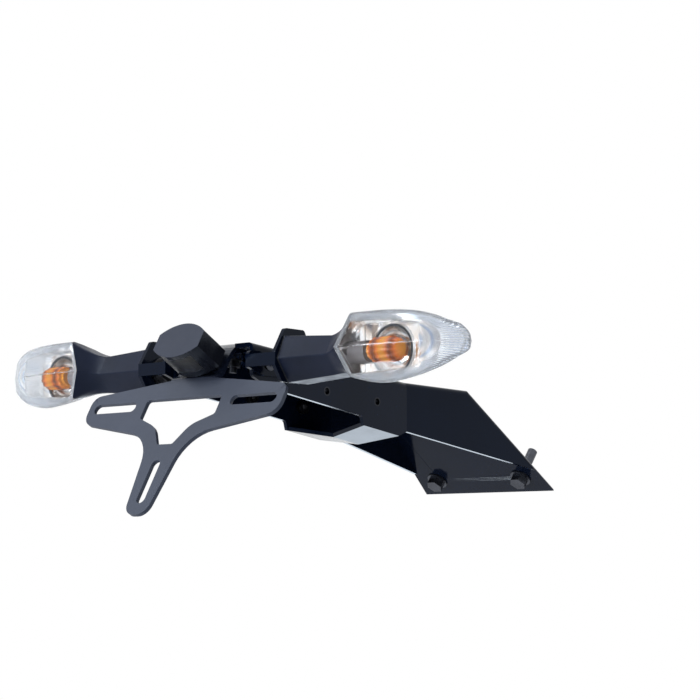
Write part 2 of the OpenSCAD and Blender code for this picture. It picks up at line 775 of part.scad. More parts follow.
module bulb() {
    at_bulb(bulb_at) {
        cylinder(d = holder_d - 2, h = bulb_cap + WELD);
        translate([0, 0, bulb_cap]) cylinder(d = bulb_d, h = bulb_glass_l);
        translate([0, 0, bulb_cap + bulb_glass_l]) sphere(d = bulb_d);
    }
}

module lens() {
    at_lens() difference() {
        lens_solid(0);
        translate([-WELD, 0, 0]) lens_solid(lens_wall);
    }
}

PLASTIC = [0.12, 0.12, 0.13];
module left_stalk_seal() { color([0.05, 0.05, 0.05]) mirror([1, 0, 0]) stalk_seal(); }
module left_stalk() { color(PLASTIC) mirror([1, 0, 0]) stalk(); }
module left_stalk_nut() { color([0.5, 0.5, 0.52]) mirror([1, 0, 0]) stalk_nut(); }
module left_reflector() { color([0.8, 0.8, 0.82]) mirror([1, 0, 0]) reflector(); }
module left_bulb_holder() { color([0.75, 0.7, 0.6]) mirror([1, 0, 0]) bulb_holder(); }
module left_bulb() { color([1, 0.6, 0.1]) mirror([1, 0, 0]) bulb(); }
module left_lens() { color([0.9, 0.92, 0.95, 0.35]) mirror([1, 0, 0]) lens(); }
module right_stalk_seal() { color([0.05, 0.05, 0.05]) stalk_seal(); }
module right_stalk() { color(PLASTIC) stalk(); }
module right_stalk_nut() { color([0.5, 0.5, 0.52]) stalk_nut(); }
module right_reflector() { color([0.8, 0.8, 0.82]) reflector(); }
module right_bulb_holder() { color([0.75, 0.7, 0.6]) bulb_holder(); }
module right_bulb() { color([1, 0.6, 0.1]) bulb(); }
module right_lens() { color([0.9, 0.92, 0.95, 0.35]) lens(); }

main_bracket();
plate_bracket();
left_indicator_bracket();
right_indicator_bracket();
light_housing();
light_window();
led_board();
light_bolts();
light_nuts();
tongue_bolts();
tongue_nuts();
side_bolts();
side_nuts();
clinch_nuts();
mount_bolts();
left_stalk_seal();
left_stalk();
left_stalk_nut();
left_reflector();
left_bulb_holder();
left_bulb();
left_lens();
right_stalk_seal();
right_stalk();
right_stalk_nut();
right_reflector();
right_bulb_holder();
right_bulb();
right_lens();
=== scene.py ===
import bpy
import bmesh
import math
from functools import partial
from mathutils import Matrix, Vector


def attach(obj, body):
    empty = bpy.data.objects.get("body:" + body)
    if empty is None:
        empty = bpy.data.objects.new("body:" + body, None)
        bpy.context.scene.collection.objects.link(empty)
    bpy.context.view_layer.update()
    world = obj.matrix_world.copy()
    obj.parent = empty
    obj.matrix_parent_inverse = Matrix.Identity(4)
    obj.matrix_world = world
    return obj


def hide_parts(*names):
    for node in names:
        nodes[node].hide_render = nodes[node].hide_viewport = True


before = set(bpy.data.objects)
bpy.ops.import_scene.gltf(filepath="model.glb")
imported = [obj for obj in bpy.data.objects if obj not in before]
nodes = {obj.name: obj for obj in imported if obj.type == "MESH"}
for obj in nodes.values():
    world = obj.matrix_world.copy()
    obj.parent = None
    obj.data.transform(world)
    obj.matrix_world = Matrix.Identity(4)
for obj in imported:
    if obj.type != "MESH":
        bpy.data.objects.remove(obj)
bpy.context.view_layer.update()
scene = bpy.context.scene
scene.view_settings.view_transform = "Standard"

# Places in metres and directions, in the shared frame
LENS_SEAM_X, LENS_Z = 0.1275, 0.0715
SEAM = Vector((LENS_SEAM_X, -0.3105, LENS_Z))
PLATE = Vector((0.0, -0.350, 0.039))
PLATE_UP = Vector((0.0, 0.5, 0.866))
PLATE_OUT = Vector((0.0, -0.866, 0.5))

# Sizes and places in metres, in the right lens's own frame, which starts at the middle of its seam
LENS_L, HALF_W, TOP, LOW = 0.0955, 0.0240, 0.0237, 0.0274
LEAN = math.tan(math.radians(25))
BULB = (0.0035, -0.0102, -0.0030)
BOWL_X, BOWL_R = 0.0360, 0.0165
STALK_AT = (0.0035, -0.0030)


# Shader helpers
def tree(name):
    """A new material with its node tree and its main shader."""
    mat = bpy.data.materials.new(name)
    mat.use_nodes = True
    return mat, mat.node_tree, mat.node_tree.nodes["Principled BSDF"]


def coords(nt, stretch=(1, 1, 1)):
    """Object coordinates, in metres in the shared frame, times a stretch along each axis."""
    source = nt.nodes.new("ShaderNodeTexCoord")
    mapping = nt.nodes.new("ShaderNodeMapping")
    mapping.inputs["Scale"].default_value = stretch
    nt.links.new(source.outputs["Object"], mapping.inputs["Vector"])
    return mapping.outputs["Vector"]


def noise(nt, vec, scale, detail=3.0, rough=0.5):
    """Cloudy noise, with its scale as grains to the metre."""
    texture = nt.nodes.new("ShaderNodeTexNoise")
    texture.inputs["Scale"].default_value = scale
    texture.inputs["Detail"].default_value = detail
    texture.inputs["Roughness"].default_value = rough
    nt.links.new(vec, texture.inputs["Vector"])
    return texture.outputs["Fac"]


def waves(nt, vec, direction, scale, distortion):
    """Evenly spaced bands along an axis, a little distorted."""
    texture = nt.nodes.new("ShaderNodeTexWave")
    texture.wave_type = "BANDS"
    texture.bands_direction = direction
    texture.inputs["Scale"].default_value = scale
    texture.inputs["Distortion"].default_value = distortion
    nt.links.new(vec, texture.inputs["Vector"])
    return texture.outputs["Fac"]


def ramp(nt, fac, stops):
    """A colour ramp from (position, colour) stops."""
    node = nt.nodes.new("ShaderNodeValToRGB")
    ends = node.color_ramp.elements
    ends[0].position, ends[0].color = stops[0][0], (*stops[0][1], 1)
    ends[1].position, ends[1].color = stops[-1][0], (*stops[-1][1], 1)
    for position, colour in stops[1:-1]:
        ends.new(position).color = (*colour, 1)
    nt.links.new(fac, node.inputs["Fac"])
    return node.outputs["Color"]


def spread(nt, fac, low, high, start=0.35, end=0.65):
    """Map a value that runs from start to end onto the range from low to high, held at both ends."""
    node = nt.nodes.new("ShaderNodeMapRange")
    for key, value in (("From Min", start), ("From Max", end), ("To Min", low), ("To Max", high)):
        node.inputs[key].default_value = value
    nt.links.new(fac, node.inputs["Value"])
    return node.outputs["Result"]


def math_node(nt, operation, a, b=0.0):
    """One step of arithmetic between two sockets or numbers."""
    node = nt.nodes.new("ShaderNodeMath")
    node.operation = operation
    for i, value in enumerate((a, b)):
        if isinstance(value, (int, float)):
            node.inputs[i].default_value = value
        else:
            nt.links.new(value, node.inputs[i])
    return node.outputs[0]


def bump(nt, bsdf, height, distance, strength):
    """Small relief from a height between 0 and 1, with its distance in metres."""
    node = nt.nodes.new("ShaderNodeBump")
    node.inputs["Distance"].default_value = distance
    node.inputs["Strength"].default_value = strength
    nt.links.new(height, node.inputs["Height"])
    nt.links.new(node.outputs["Normal"], bsdf.inputs["Normal"])


def shade(colour, factor):
    """A colour made darker or lighter by a factor."""
    return tuple(min(1.0, value * factor) for value in colour)


def drift(nt, fac, colour, dark, light):
    """A colour that wanders between a darker and a lighter shade of itself."""
    return ramp(nt, fac, [(0.3, shade(colour, dark)), (0.7, shade(colour, light))])


def cool_sheen(bsdf, spec):
    """Reflections of a coat or a moulding, tinted cold."""
    bsdf.inputs["Specular IOR Level"].default_value = spec
    bsdf.inputs["Specular Tint"].default_value = (0.66, 0.79, 1.0, 1.0)


# Materials
def coat(name, colour, rough, spec):
    """Stoved or powder coat: orange peel, slow colour drift, and dust-dull patches."""
    mat, nt, bsdf = tree(name)
    vec = coords(nt)
    nt.links.new(drift(nt, noise(nt, vec, 22.0, 4.0), colour, 0.84, 1.25), bsdf.inputs["Base Color"])
    nt.links.new(spread(nt, noise(nt, vec, 70.0, 5.0), rough - 0.05, rough + 0.06), bsdf.inputs["Roughness"])
    cool_sheen(bsdf, spec)
    bump(nt, bsdf, noise(nt, vec, 900.0, 2.0), 0.00006, 0.55)
    return mat


def moulded(name, colour, rough, grain=2600.0, depth=0.00010, spec=0.45):
    """Spark-eroded moulded plastic: a fine even grain over a slow drift in gloss."""
    mat, nt, bsdf = tree(name)
    vec = coords(nt)
    cells = nt.nodes.new("ShaderNodeTexVoronoi")
    cells.inputs["Scale"].default_value = grain * 0.5
    nt.links.new(vec, cells.inputs["Vector"])
    nt.links.new(drift(nt, noise(nt, vec, 45.0, 4.0), colour, 0.8, 1.25), bsdf.inputs["Base Color"])
    nt.links.new(spread(nt, noise(nt, vec, 120.0, 4.0), rough - 0.06, rough + 0.07), bsdf.inputs["Roughness"])
    cool_sheen(bsdf, spec)
    bump(nt, bsdf, math_node(nt, "ADD", cells.outputs["Distance"], noise(nt, vec, grain, 2.0)), depth, 0.5)
    return mat


def two_tone_and_painted_shade(name, first, second, axis, start, end, spec, peel):
    """A coat whose (colour, roughness) changes between two distances from the plate along an axis; it serves
    for a real change of finish and for painted shade.
    """
    mat, nt, bsdf = tree(name)
    vec = coords(nt)
    along = nt.nodes.new("ShaderNodeVectorMath")
    along.operation = "DOT_PRODUCT"
    along.inputs[1].default_value = axis
    nt.links.new(vec, along.inputs[0])
    middle = axis.dot(PLATE)
    share = spread(nt, along.outputs["Value"], 0.0, 1.0, middle + start, middle + end)
    slow = noise(nt, vec, 24.0, 4.0)
    (colour, rough), (other, other_rough) = first, second
    first_colour, second_colour, blended_colour = 6, 7, 2
    blend = nt.nodes.new("ShaderNodeMix")
    blend.data_type = "RGBA"
    nt.links.new(share, blend.inputs["Factor"])
    nt.links.new(drift(nt, slow, colour, 0.88, 1.12), blend.inputs[first_colour])
    nt.links.new(drift(nt, slow, other, 0.88, 1.12), blend.inputs[second_colour])
    nt.links.new(blend.outputs[blended_colour], bsdf.inputs["Base Color"])
    cloud = spread(nt, noise(nt, vec, 70.0, 5.0), -0.05, 0.05)
    level = math_node(nt, "ADD", math_node(nt, "MULTIPLY", share, other_rough - rough), rough)
    nt.links.new(math_node(nt, "ADD", level, cloud), bsdf.inputs["Roughness"])
    cool_sheen(bsdf, spec)
    bump(nt, bsdf, noise(nt, vec, peel, 2.0), 0.00005, 0.5)
    return mat


def chrome_parts(name):
    """Aluminised moulding: bright, with warm and dark bands in its colour that are painted reflections, such
    as a bowl picks up round a bulb.
    """
    mat, nt, bsdf = tree(name)
    # Dark, warm and white bands in the base colour: painted reflections of the surroundings.
    bands = noise(nt, coords(nt, (1.0, 1.0, 0.35)), 95.0, 2.0, 0.35)
    tones = [(0.30, (0.15, 0.14, 0.17)), (0.42, (0.60, 0.53, 0.48)), (0.52, (0.86, 0.81, 0.77)),
             (0.62, (0.95, 0.96, 0.98))]
    nt.links.new(ramp(nt, bands, tones), bsdf.inputs["Base Color"])
    bsdf.inputs["Metallic"].default_value = 1.0
    vec = coords(nt)
    nt.links.new(spread(nt, noise(nt, vec, 220.0, 4.0), 0.10, 0.20), bsdf.inputs["Roughness"])
    bump(nt, bsdf, noise(nt, vec, 150.0), 0.0003, 0.5)
    return mat


def metal(name, colour, rough):
    """Plated steel: fine scratches and a cloudy tint."""
    mat, nt, bsdf = tree(name)
    vec = coords(nt)
    nt.links.new(drift(nt, noise(nt, vec, 90.0, 4.0), colour, 0.78, 1.12), bsdf.inputs["Base Color"])
    bsdf.inputs["Metallic"].default_value = 1.0
    nt.links.new(spread(nt, noise(nt, vec, 180.0, 5.0), rough - 0.07, rough + 0.09), bsdf.inputs["Roughness"])
    bump(nt, bsdf, noise(nt, vec, 600.0), 0.00003, 0.5)
    return mat


def clear(name, tint, rough):
    """See-through moulded plastic darkened by a tint of painted shade, and with fine prisms stacked up its
    height.
    """
    mat, nt, bsdf = tree(name)
    vec = coords(nt)
    nt.links.new(drift(nt, noise(nt, vec, 35.0), tint, 0.96, 1.0), bsdf.inputs["Base Color"])
    bsdf.inputs["Transmission Weight"].default_value = 1.0
    bsdf.inputs["IOR"].default_value = 1.45
    nt.links.new(spread(nt, noise(nt, vec, 160.0), rough, rough + 0.03), bsdf.inputs["Roughness"])
    bump(nt, bsdf, waves(nt, vec, "Z", 160.0, 0.4), 0.0003, 0.35)
    return mat


def lens_frost(nt, out, up, high):
    """How frosted the lens is, from 0 to 1: in its rim, tip and seam bands together, and in its tip alone."""
    calc = partial(math_node, nt)
    rim_band, tip_band, seam_band = (0.70, 0.76), (0.0665, 0.0678), (0.0028, 0.0034)
    low_half, top_half, crease_half = 0.0265, 0.0230, 0.0005
    fall_power, edge_power, least_room = 3.0, 0.57, 0.02
    share = calc("MAXIMUM", calc("DIVIDE", out, LENS_L), 0.0)
    room = calc("MAXIMUM", calc("SUBTRACT", 1.0, calc("POWER", share, fall_power)), least_room)
    half = spread(nt, up, low_half, top_half, -crease_half, crease_half)
    edge = calc("DIVIDE", calc("DIVIDE", high, half), calc("POWER", room, edge_power))
    rim = spread(nt, edge, 0.0, 1.0, *rim_band)
    tip = spread(nt, out, 0.0, 1.0, *tip_band)
    from_seam = calc("SUBTRACT", out, calc("MULTIPLY", high, LEAN))
    seam = spread(nt, from_seam, 1.0, 0.0, *seam_band)
    return calc("MAXIMUM", calc("MAXIMUM", rim, tip), seam), tip


def lens_ribs(nt, out, up, high, tip):
    """Height of the moulded ribs: rays round the window, and oval contours in the middle of the tip."""
    calc = partial(math_node, nt)
    ray_centre, ray_rate = 0.030, 236.0
    oval_start, oval_length, oval_half, oval_rate, oval_edge = 0.048, 0.0465, 0.0235, 38.0, (0.50, 0.56)
    turn = calc("ARCTAN2", up, calc("SUBTRACT", out, ray_centre))
    rays = calc("SINE", calc("MULTIPLY", turn, ray_rate))
    past = calc("MAXIMUM", calc("SUBTRACT", out, oval_start), 0.0)
    along = calc("POWER", calc("DIVIDE", past, oval_length), 2.0)
    across = calc("POWER", calc("DIVIDE", high, oval_half), 2.0)
    oval = calc("ADD", along, across)
    contours = calc("SINE", calc("MULTIPLY", calc("SQRT", oval), oval_rate))
    inner = calc("MULTIPLY", tip, spread(nt, oval, 1.0, 0.0, *oval_edge))
    outer = calc("SUBTRACT", 1.0, inner)
    return calc("ADD", calc("MULTIPLY", rays, outer), calc("MULTIPLY", contours, inner))


def lens_clear(name):
    """Indicator lens: clear window, frosted bands along its rim, tip and seam, with moulded ribs in them."""
    mat, nt, bsdf = tree(name)
    calc = partial(math_node, nt)
    frost_dulls, frost_rough, polish_rough = 0.22, 0.14, 0.012
    crease_band, crease_height, rib_depth = (0.00015, 0.0006), 1.6, 0.00028
    place = nt.nodes.new("ShaderNodeSeparateXYZ")
    nt.links.new(coords(nt), place.inputs["Vector"])
    out = calc("SUBTRACT", calc("ABSOLUTE", place.outputs["X"]), LENS_SEAM_X)
    up = calc("SUBTRACT", place.outputs["Z"], LENS_Z)
    high = calc("ABSOLUTE", up)
    frost, tip = lens_frost(nt, out, up, high)
    height = calc("MULTIPLY", frost, lens_ribs(nt, out, up, high, tip))
    # The base colour follows the ribs: their valleys are tinted a darker blue as painted shade, their crests
    # near white.
    tones = [(0.0, (0.56, 0.69, 0.90)), (0.24, (0.94, 0.97, 1.0)), (0.5, (1.0, 1.0, 1.0)),
             (1.0, (0.96, 0.98, 1.0))]
    nt.links.new(ramp(nt, spread(nt, height, 0.0, 1.0, -1.0, 1.0), tones), bsdf.inputs["Base Color"])
    clearness = calc("SUBTRACT", 1.0, calc("MULTIPLY", frost, frost_dulls))
    nt.links.new(clearness, bsdf.inputs["Transmission Weight"])
    bsdf.inputs["IOR"].default_value = 1.33
    rough = calc("ADD", calc("MULTIPLY", frost, frost_rough), polish_rough)
    nt.links.new(rough, bsdf.inputs["Roughness"])
    crease = calc("MULTIPLY", spread(nt, high, 1.0, 0.0, *crease_band), crease_height)
    bump(nt, bsdf, calc("ADD", height, crease), rib_depth, 0.7)
    return mat


def amber(name):
    """Amber lamp glass: deep colour, with paler bands painted as highlights and browner bands painted as
    shade along its length.
    """
    mat, nt, bsdf = tree(name)
    vec = coords(nt)
    # Bands along the glass: the paler ones are painted highlights and the browner ones painted shade; they
    # also give it a small relief.
    bands = waves(nt, vec, "X", 22.0, 1.2)
    tones = [(0.0, (0.26, 0.060, 0.010)), (0.40, (0.95, 0.22, 0.006)), (1.0, (1.0, 0.42, 0.02))]
    nt.links.new(ramp(nt, bands, tones), bsdf.inputs["Base Color"])
    bsdf.inputs["Transmission Weight"].default_value = 0.40
    bsdf.inputs["IOR"].default_value = 1.3
    nt.links.new(spread(nt, noise(nt, vec, 160.0), 0.05, 0.12), bsdf.inputs["Roughness"])
    bump(nt, bsdf, bands, 0.0006, 0.5)
    return mat


MATS = {
    "black_coat": coat("black_coat", (0.0018, 0.0040, 0.0116), 0.10, spec=0.13),
    # The plate bracket's coat turns glossier and much darker up towards its neck; the darker colour there is
    # painted shade.
    "plate_coat": two_tone_and_painted_shade(
        "plate_coat", ((0.028, 0.033, 0.051), 0.44), ((0.006, 0.0085, 0.018), 0.18),
        PLATE_UP, 0.0170, 0.0245, spec=0.4, peel=1300.0),
    "black_plastic": two_tone_and_painted_shade(
        "black_plastic", ((0.007, 0.008, 0.012), 0.18), ((0.023, 0.027, 0.043), 0.46),
        PLATE_OUT, 0.0252, 0.0256, spec=0.27, peel=2400.0),
    "stalk_plastic": moulded(
        "stalk_plastic", (0.0058, 0.0082, 0.0195), 0.38, grain=3200.0, depth=0.00006, spec=0.15),
    # The light window's dark tint is painted shade for its shaded underside.
    "clear_plastic": clear("clear_plastic", (0.07, 0.075, 0.095), 0.30),
    "lens_plastic": lens_clear("lens_plastic"),
    "circuit_board": moulded("circuit_board", (0.30, 0.31, 0.28), 0.5, depth=0.00003),
    "zinc_steel": metal("zinc_steel", (0.30, 0.30, 0.32), 0.34),
    "dark_zinc": metal("dark_zinc", (0.06, 0.062, 0.07), 0.36),
    "black_steel": metal("black_steel", (0.075, 0.080, 0.095), 0.34),
    "blacked_nut": metal("blacked_nut", (0.024, 0.026, 0.032), 0.34),
    "black_rubber": moulded("black_rubber", (0.012, 0.012, 0.014), 0.62, grain=1800.0),
    "chrome_plate": chrome_parts("chrome_plate"),
    "holder_plastic": moulded("holder_plastic", (0.16, 0.145, 0.15), 0.5),
    "dark_ring": moulded("dark_ring", (0.012, 0.014, 0.018), 0.3),
    "amber_glass": amber("amber_glass"),
}
NODE_MAT = {
    "main_bracket": "black_coat", "left_indicator_bracket": "black_coat",
    "right_indicator_bracket": "black_coat", "plate_bracket": "plate_coat",
    "light_housing": "black_plastic", "light_window": "clear_plastic", "led_board": "circuit_board",
    "light_bolts": "zinc_steel", "light_nuts": "zinc_steel",
    "tongue_bolts": "black_steel", "tongue_nuts": "dark_zinc", "side_bolts": "black_steel",
    "side_nuts": "dark_zinc", "clinch_nuts": "blacked_nut", "mount_bolts": "black_steel",
}
for hand in ("left", "right"):
    NODE_MAT.update({
        f"{hand}_stalk_seal": "black_rubber", f"{hand}_stalk": "stalk_plastic",
        f"{hand}_stalk_nut": "dark_zinc",
        f"{hand}_reflector": "chrome_plate", f"{hand}_bulb_holder": "holder_plastic",
        f"{hand}_bulb": "amber_glass", f"{hand}_lens": "lens_plastic"})
EDGE_WIDTHS = {"main_bracket": 0.0006, "plate_bracket": 0.00045, "left_indicator_bracket": 0.0004,
               "right_indicator_bracket": 0.0004, "light_housing": 0.0006}


# Looks of the nodes
def paint(obj, mat):
    """Give a node its one material."""
    obj.data.materials.clear()
    obj.data.materials.append(MATS[mat])


def soften(obj, width):
    """A small rounded edge that catches the light, on the node's own faces."""
    weld_gap, least_angle = 0.000002, 28
    weld = obj.modifiers.new("weld", "WELD")
    weld.merge_threshold = weld_gap
    edge = obj.modifiers.new("edge", "BEVEL")
    edge.width = width
    edge.segments = 2
    edge.limit_method = "ANGLE"
    edge.angle_limit = math.radians(least_angle)
    edge.harden_normals = False


for name, mat in NODE_MAT.items():
    paint(nodes[name], mat)
for name, width in EDGE_WIDTHS.items():
    soften(nodes[name], width)


# Meshes
def piece(name, verts, faces, side, mat, smooth, node=None):
    """A mesh from points in the right lens's own frame, in metres; the left one is its mirror image."""
    pts = [(side * (SEAM.x + v[0]), SEAM.y + v[1], SEAM.z + v[2]) for v in verts]
    data = bpy.data.meshes.new(name)
    data.from_pydata(pts, [], faces)
    data.validate()
    work = bmesh.new()
    work.from_mesh(data)
    bmesh.ops.recalc_face_normals(work, faces=work.faces)
    work.to_mesh(data)
    work.free()
    obj = bpy.data.objects.new(name, data)
    scene.collection.objects.link(obj)
    data.polygons.foreach_set("use_smooth", [True] * len(data.polygons))
    data.set_sharp_from_angle(angle=math.radians(smooth))
    data.materials.append(MATS[mat])
    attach(obj, "root")
    if node:
        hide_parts(node)


def grid_faces(rows, cols, closed):
    """Faces between the points of a grid, whose rows are closed rings or open lines."""
    faces = []
    for i in range(rows - 1):
        for j in range(cols if closed else cols - 1):
            k = (j + 1) % cols
            faces.append((i * cols + j, i * cols + k, (i + 1) * cols + k, (i + 1) * cols + j))
    return faces


def moved_faces(faces, base):
    """Faces whose points come later in the list, from base on."""
    return [tuple(base + v for v in face) for face in faces]


def flipped_faces(faces, base):
    """Faces whose points come later in the list, seen from the other side."""
    return [tuple(base + v for v in reversed(face)) for face in faces]


def sheet_faces(rows, cols, base):
    """Faces of a thin sheet: two grids of points, one after the other, joined round their border."""
    n = rows * cols
    grid = grid_faces(rows, cols, False)
    faces = moved_faces(grid, base) + flipped_faces(grid, base + n)
    border = list(range(cols))
    border += [i * cols + cols - 1 for i in range(1, rows)]
    border += [(rows - 1) * cols + j for j in range(cols - 2, -1, -1)]
    border += [i * cols for i in range(rows - 2, 0, -1)]
    for a, b in zip(border, border[1:] + border[:1]):
        faces.append((base + b, base + a, base + n + a, base + n + b))
    return faces


def turned(profile, n, flutes=0, depth=0.0):
    """A solid of revolution about the lens's length, from (along, radius) points, with closed ends."""
    verts = []
    for along, r in profile:
        for j in range(n):
            a = 2 * math.pi * j / n
            k = r * (1 - depth * (0.5 + 0.5 * math.cos(flutes * a)))
            verts.append((along, k * math.cos(a), k * math.sin(a)))
    faces = grid_faces(len(profile), n, True)
    faces.append(tuple(reversed(range(n))))
    faces.append(tuple(range((len(profile) - 1) * n, len(profile) * n)))
    return verts, faces


def ring(radius, wire):
    """A slightly flattened ring round the lens's depth axis."""
    n, m, flatness = 64, 10, 0.8
    verts = []
    for i in range(n):
        a = 2 * math.pi * i / n
        for j in range(m):
            b = 2 * math.pi * j / m
            r = radius + wire * math.cos(b)
            verts.append((r * math.cos(a), wire * flatness * math.sin(b), r * math.sin(a)))
    faces = []
    for i in range(n):
        for j in range(m):
            i_next, j_next = (i + 1) % n, (j + 1) % m
            faces.append((i * m + j, i * m + j_next, i_next * m + j_next, i_next * m + j))
    return verts, faces


def shifted(verts, by):
    """Points moved by an offset."""
    return [(v[0] + by[0], v[1] + by[1], v[2] + by[2]) for v in verts]


def between(points, value):
    """The output at a value, on straight lines between (input, output) points."""
    for (a, b), (c, d) in zip(points, points[1:]):
        if min(a, c) <= value <= max(a, c):
            return b + (d - b) * (value - a) / (c - a)


def fillet(corners):
    """A closed outline of (y, z, radius) corners with a curve at each."""
    steps, most = 6, 0.45
    outline = []
    n = len(corners)
    for i, (cy, cz, r) in enumerate(corners):
        if r == 0:
            outline.append((cy, cz))
            continue
        c, p, q = Vector((cy, cz)), Vector(corners[i - 1][:2]), Vector(corners[(i + 1) % n][:2])
        u, v = (p - c).normalized(), (q - c).normalized()
        half = math.acos(max(-1, min(1, u.dot(v)))) / 2
        setback = min(r / math.tan(half), most * (p - c).length, most * (q - c).length)
        a, b = c + u * setback, c + v * setback
        for k in range(steps + 1):
            w = k / steps
            e = a * (1 - w) ** 2 + c * 2 * w * (1 - w) + b * w ** 2
            outline.append((e.x, e.y))
    return outline


# Form of the lens
SECTION = [(-1.0, 0.0), (-0.8, 1.0), (-0.35, 0.9), (0.1, 0.77), (0.5, 0.62), (0.8, 0.46), (1.0, 0.0)]
ROUNDS = (0.14, 0.5, 0.5, 0.5, 0.3)
UPPER = [(a, b, r) for (a, b), r in zip(SECTION[1:-1], ROUNDS)]
OUTLINE = fillet([(-1, 0, 0)] + UPPER + [(1, 0, 0)] + [(a, -b, r) for a, b, r in reversed(UPPER)])
REAR_SIDE = [(b, a) for a, b in SECTION[:2]]
FRONT_SIDE = [(b, a) for a, b in SECTION[1:]]
TOP_FALL, LOW_FALL, SIDE_FALL = (3.5, 1.95, 0.47), (3.1, 1.5, 0.37), (3, 1.9)
CUP_L = LENS_L - 0.0007
CUP_WALL, CUP_END, CUP_INNER_END = 0.002, 0.996, 0.99
ROOM = 0.0028


def fade(t, p, q):
    """A rounded fall from 1 at the seam to 0 at the tip."""
    return (1 - t ** p) ** (1 / q)


def blunt(t, p, q, end):
    """A height's share along the lens: it falls to the share end near the tip, then a chamfer closes it."""
    bend, corner = 0.86, 0.965
    if t <= bend:
        return fade(t, p, q)
    if t <= corner:
        w = (t - bend) / (corner - bend)
        return fade(bend, p, q) * (1 - w) + end * w
    return end * (1 - (t - corner) / (1 - corner))


def half_heights(t, inset):
    """The lens's height above and below its crease at a share t of its length."""
    swell_end, seam_loss, least = 0.4, 0.0064, 0.0004
    swell = math.sin(math.pi / 2 * min(1.0, t / swell_end))
    top = TOP * blunt(t, *TOP_FALL)
    low = (LOW - seam_loss * (1 - swell)) * blunt(t, *LOW_FALL)
    return max(top - inset, least), max(low - inset, least)


def height_at(x, y):
    """Half height of the space inside the lens at a point, as (up, down)."""
    last_along, last_across = 0.99, 0.999
    top, low = half_heights(min(last_along, max(0.0, x / LENS_L)), ROOM)
    share = between(SECTION, max(-last_across, min(last_across, y / (HALF_W - ROOM))))
    return share * top, share * low


def lens_ring(t, inset):
    """The lens's section at a share t of its length, set inwards by inset and leaning with the seam."""
    tip_ahead = 0.0015
    half_y = HALF_W * fade(t, *SIDE_FALL) - inset
    top, low = half_heights(t, inset)
    points = []
    for a, b in OUTLINE:
        z = b * (top if b > 0 else low)
        points.append((t * (CUP_L - inset) + (1 - t) * abs(z) * LEAN, half_y * a + tip_ahead * t, z))
    return points


# Pieces of the indicators
def lens_shell(side, name):
    """The clear cup: an outer and an inner skin, joined round the folded seam and closed near the tip."""
    rings, n = 48, len(OUTLINE)
    verts = []
    for inset, end in ((0.0, CUP_END), (CUP_WALL, CUP_INNER_END)):
        for k in range(rings + 1):
            verts += lens_ring(end * math.sin(math.pi / 2 * k / rings), inset)
    inner = (rings + 1) * n
    skin = grid_faces(rings + 1, n, True)
    faces = skin + flipped_faces(skin, inner)
    for j in range(n):
        k = (j + 1) % n
        faces.append((k, j, inner + j, inner + k))
    faces.append(tuple(rings * n + j for j in range(n)))
    faces.append(tuple(inner + rings * n + j for j in reversed(range(n))))
    piece(f"{name}_lens_cup", verts, faces, side, "lens_plastic", 24, f"{name}_lens")


def relief(x, z):
    """How far ahead of the lens's middle the reflector's face lies: flutes, bowl, rim and end wall."""
    base_y, step_y = -0.0035, 0.001
    flutes_end, flute_pitch, flute_depth = 0.0165, 0.0052, 0.0016
    bowl_depth, rim_width, rim_height = 0.0150, 0.0022, 0.0016
    wall_x, wall_run, wall_depth = 0.0600, 0.0060, 0.0100
    y = base_y
    if x < flutes_end:
        y -= flute_depth * abs(math.sin(math.pi * x / flute_pitch))
    r = math.hypot(x - BOWL_X, z - BULB[2])
    if r < BOWL_R:
        y += bowl_depth * math.sqrt(max(0.0, 1 - (r / BOWL_R) ** 2)) + step_y
    elif r < BOWL_R + rim_width:
        y -= rim_height * math.sin(math.pi * (r - BOWL_R) / rim_width)
    if x > wall_x:
        y += wall_depth * min(1.0, (x - wall_x) / wall_run) ** 1.5
    return y


def reflector_face(rows, cols):
    """Points of the reflector's face, row by row along the lens, kept inside the lens all round."""
    start, end, seam_gap, lid_gap = 0.0030, 0.0665, 0.0016, 0.0012
    points = []
    for i in range(rows):
        for j in range(cols):
            u = -1 + 2 * j / (cols - 1)
            x = start + (end - start) * i / (rows - 1)
            up, down = height_at(x, 0.0)
            z = u * (up if u > 0 else down)
            x = max(x, abs(z) * LEAN + seam_gap)
            y = relief(x, z)
            lid_up, lid_down = height_at(x, y + lid_gap)
            points.append((x, y, max(-lid_down, min(lid_up, z))))
    return points


def seam_wall(rows, cols, gap):
    """Points of one side of the wall behind the seam, folded as the seam is, at a gap from it."""
    fit, side_room = 0.985, 0.0030
    up, down = half_heights(0.0, ROOM)
    points = []
    for i in range(rows):
        u = -1 + 2 * i / (rows - 1)
        z = u * (up if u > 0 else down) * fit
        share = abs(u) * fit
        rear, front = between(REAR_SIDE, share), between(FRONT_SIDE, share)
        for k in range(cols):
            w = k / (cols - 1)
            y = (rear + (front - rear) * w) * (HALF_W - side_room)
            points.append((gap + abs(z) * LEAN, y, z))
    return points


def reflector(side, name):
    """Aluminised plate behind the bulb: fluted wings, a deep bowl with a raised rim, and an end wall."""
    rows, cols, thick = 120, 72, 0.0010
    wall_rows, wall_cols, wall_gap = 37, 13, 0.0014
    face = reflector_face(rows, cols)
    verts = face + shifted(face, (0.0, thick, 0.0))
    faces = sheet_faces(rows, cols, 0) + sheet_faces(wall_rows, wall_cols, len(verts))
    verts += seam_wall(wall_rows, wall_cols, wall_gap)
    verts += seam_wall(wall_rows, wall_cols, wall_gap + thick)
    piece(f"{name}_reflector_moulding", verts, faces, side, "chrome_plate", 35,
          f"{name}_reflector")


def hexagon(half_y, half_z, centre):
    """Six-sided section of the arm, in (y, z), with rounded corners and an underside that sits off centre."""
    top_share, low_share, low_shift, corner = 0.62, 0.5, 0.002, 0.0012
    points = [(-half_y, 0), (-half_y * top_share, half_z), (half_y * top_share, half_z), (half_y, 0),
              (half_y * top_share + low_shift, -half_z), (low_shift - half_y * low_share, -half_z)]
    return fillet([(y + centre[0], z + centre[1], corner) for y, z in points])


